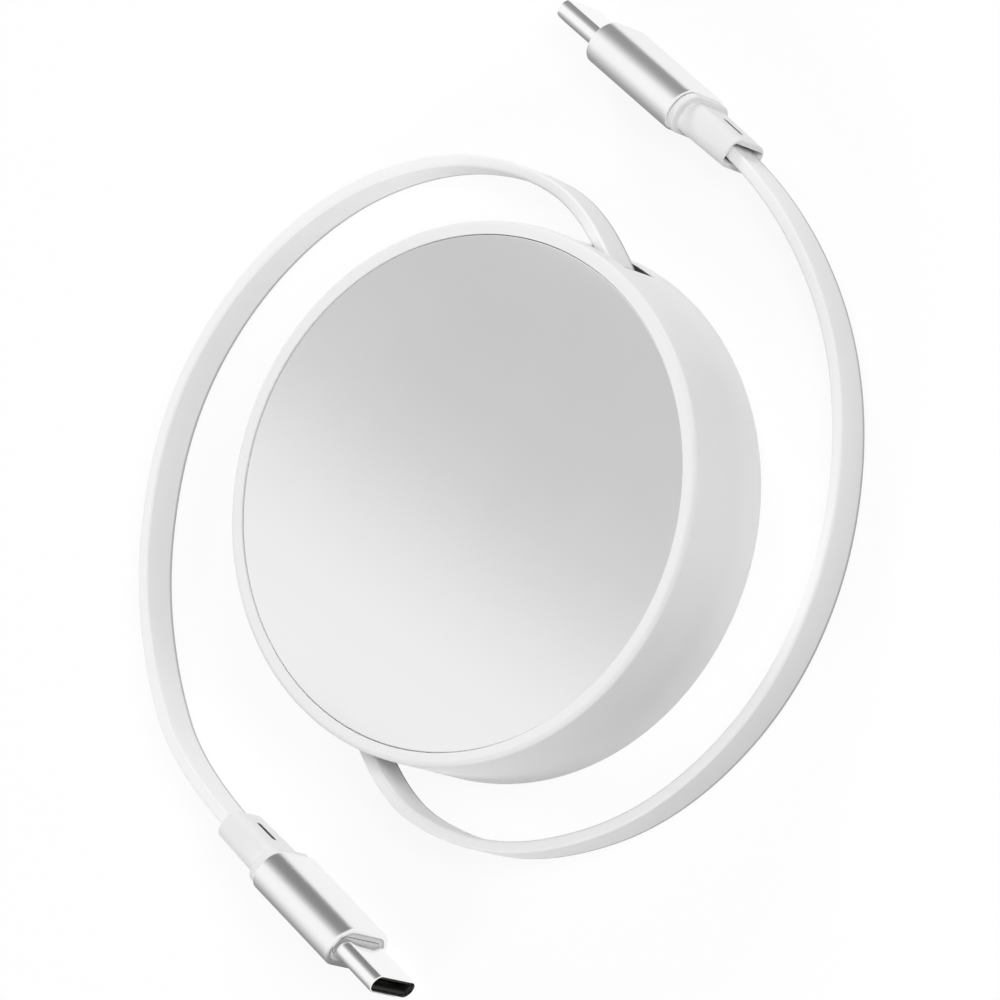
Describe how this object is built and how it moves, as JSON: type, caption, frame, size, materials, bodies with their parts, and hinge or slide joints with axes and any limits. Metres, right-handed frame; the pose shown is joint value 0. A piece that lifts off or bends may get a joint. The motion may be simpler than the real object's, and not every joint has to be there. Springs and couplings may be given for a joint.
{
  "type": "retractable charging cable",
  "caption": "Flat round white case with a metal face plate and a sprung reel inside; a flat white charging cable leaves it on both sides, each end with a USB-C plug.",
  "frame": {"origin": "centre of the case's back face, on the surface that the case lies on", "axes": "+Z along the reel's axis, from the back towards the face plate; the cable leaves the case on the +X and -X sides"},
  "size_m": [0.1082, 0.0912, 0.0143],
  "materials": {
    "white_case": "smooth white moulding with a low gloss",
    "metal_plate": "fine satin, nearly mirror bright",
    "white_cable": "matt white thermoplastic elastomer",
    "white_boot": "matt white moulding",
    "satin_aluminium": "satin anodised silver",
    "plug_steel": "bright nickel plate",
    "dark_guide": "dark grey moulding",
    "black_insulator": "black moulding",
    "gold_contact": "gold flash",
    "circuit_board": "green solder mask",
    "plug_mould": "grey inner moulding",
    "natural_plastic": "natural acetal",
    "spring_steel": "blue-grey rolled strip",
    "plain_steel": "zinc plated",
    "bright_steel": "polished bearing ball"
  },
  "bodies": {
    "housing": {"front_shell": "white_case", "rear_cover": "white_case", "face_plate": "metal_plate", "centre_screw": "plain_steel", "thrust_washer": "natural_plastic", "exit_guide_a": "dark_guide", "exit_guide_b": "dark_guide", "cable_tail_a": "white_cable", "cable_tail_b": "white_cable", "plug_shell_a": "plug_steel", "contact_insert_a": "black_insulator", "contacts_a": "gold_contact", "paddle_card_a": "circuit_board", "plug_core_a": "plug_mould", "sleeve_a": "satin_aluminium", "strain_relief_a": "white_boot", "plug_shell_b": "plug_steel", "contact_insert_b": "black_insulator", "contacts_b": "gold_contact", "paddle_card_b": "circuit_board", "plug_core_b": "plug_mould", "sleeve_b": "satin_aluminium", "strain_relief_b": "white_boot"},
    "reel": {"reel_body": "natural_plastic", "track_flange": "natural_plastic", "wound_cable": "white_cable", "power_spring": "spring_steel"},
    "ball": {"lock_ball": "bright_steel"}
  },
  "joints": [
    {"name": "spool_spin", "type": "hinge", "parent": "housing", "child": "reel", "pos_m": [0, 0, 0], "axis": [0, 0, 1], "range_deg": [-360, 1320], "deforming": ["power_spring"]},
    {"name": "ball_slide", "type": "slide", "parent": "housing", "child": "ball", "axis": [0, -1, 0], "range_m": [0, 0.0042]}
  ]
}
